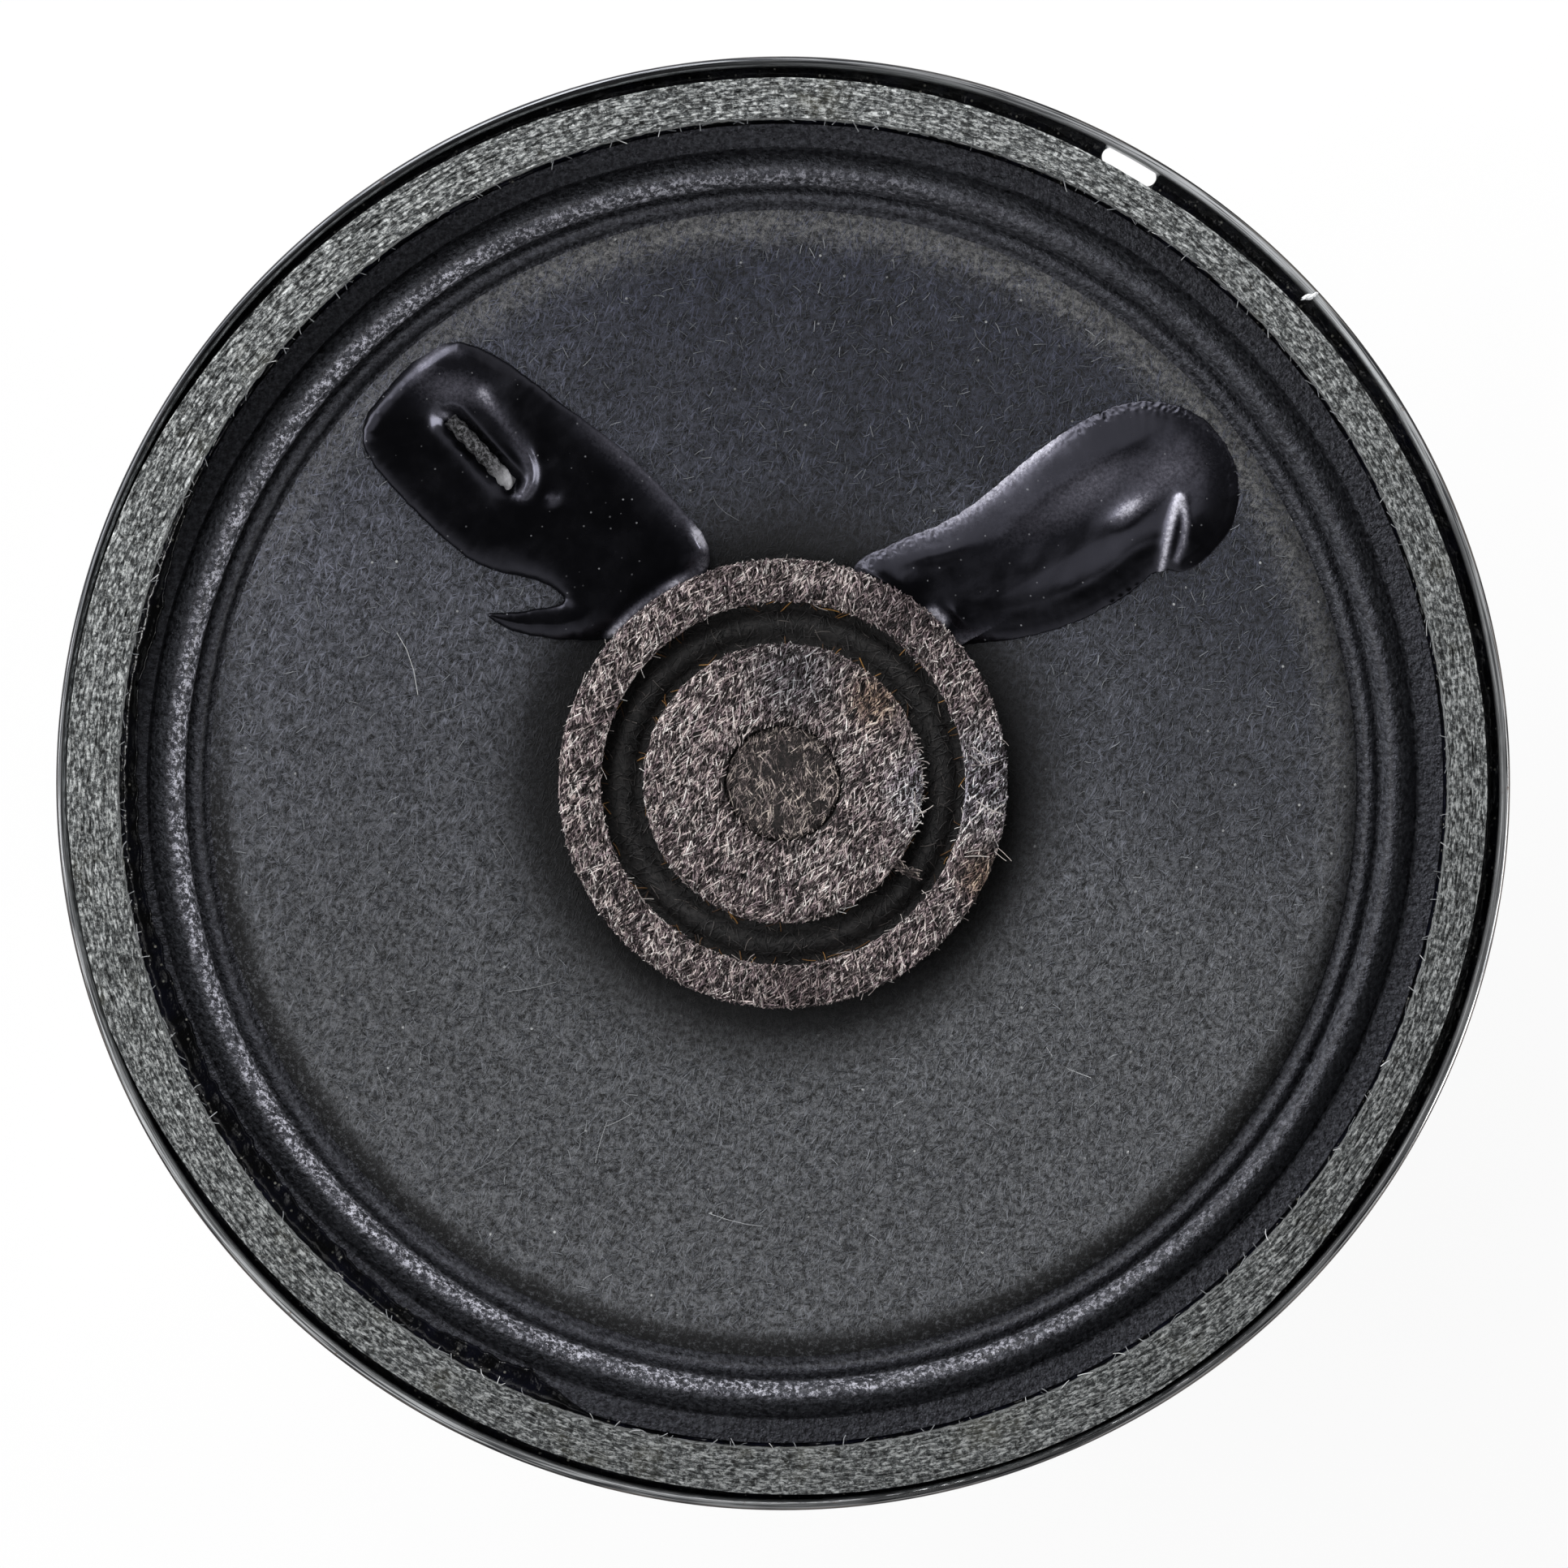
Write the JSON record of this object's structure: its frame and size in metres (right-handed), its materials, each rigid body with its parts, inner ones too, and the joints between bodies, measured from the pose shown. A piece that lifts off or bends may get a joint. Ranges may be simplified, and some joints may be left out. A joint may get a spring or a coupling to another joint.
{
  "type": "miniature loudspeaker",
  "caption": "Round miniature loudspeaker: steel basket and fibre gasket round a paper cone with doped edge and felt dust cap, pot magnet and solder lugs behind.",
  "frame": {"origin": "centre of the magnet pot's flat back face", "axes": "+Z out of the front along the cone's axis, +Y towards the solder lugs, +X to the right seen from the front"},
  "size_m": [0.057, 0.057, 0.023],
  "materials": {
    "plated_steel": "satin zinc plate",
    "magnet_steel": "dull plated",
    "alnico": "ground",
    "fibre_board": "laminated, fuzzy",
    "black_cement": "glossy",
    "neck_cement": "glossy",
    "doped_cloth": "doped, glittering",
    "spider_cloth": "varnished weave",
    "phenolic": "paper laminate",
    "tinned_brass": "tinned",
    "brass": "satin",
    "solder": "bright",
    "tinsel": "braided metal foil on thread",
    "cone_paper": "pressed fibre",
    "former_paper": "kraft",
    "copper_wire": "enamelled",
    "cap_board": "pressed, black",
    "felt": "needled wool felt"
  },
  "bodies": {
    "chassis": {"yoke_pot": "magnet_steel", "magnet_slug": "alnico", "pole_tip": "magnet_steel", "top_plate": "magnet_steel", "plate_rivets": "plated_steel", "basket": "plated_steel", "gasket_ring": "fibre_board", "gasket_cement": "black_cement", "rim_cement": "black_cement", "surround": "doped_cloth", "spider": "spider_cloth", "terminal_board": "phenolic", "board_rivet": "plated_steel", "terminal_lug_left": "tinned_brass", "terminal_lug_right": "tinned_brass", "lug_rivets": "brass", "solder_joints": "solder", "tinsel_lead_left": "tinsel", "tinsel_lead_right": "tinsel"},
    "moving_system": {"cone": "cone_paper", "coil_former": "former_paper", "voice_coil": "copper_wire", "neck_cement": "neck_cement", "coil_wire_left": "copper_wire", "coil_wire_right": "copper_wire", "lead_stitch_left": "tinsel", "lead_stitch_right": "tinsel", "dope_left": "black_cement", "dope_right": "black_cement", "dust_cap": "cap_board", "felt_ring": "felt", "felt_disc": "felt"}
  },
  "joints": [
    {"name": "cone_travel", "type": "slide", "parent": "chassis", "child": "moving_system", "axis": [0, 0, 1], "range_m": [-0.0008, 0.0008], "stiffness_N_per_m": 3500, "deforming": ["surround", "spider", "tinsel_lead_left", "tinsel_lead_right"]}
  ]
}
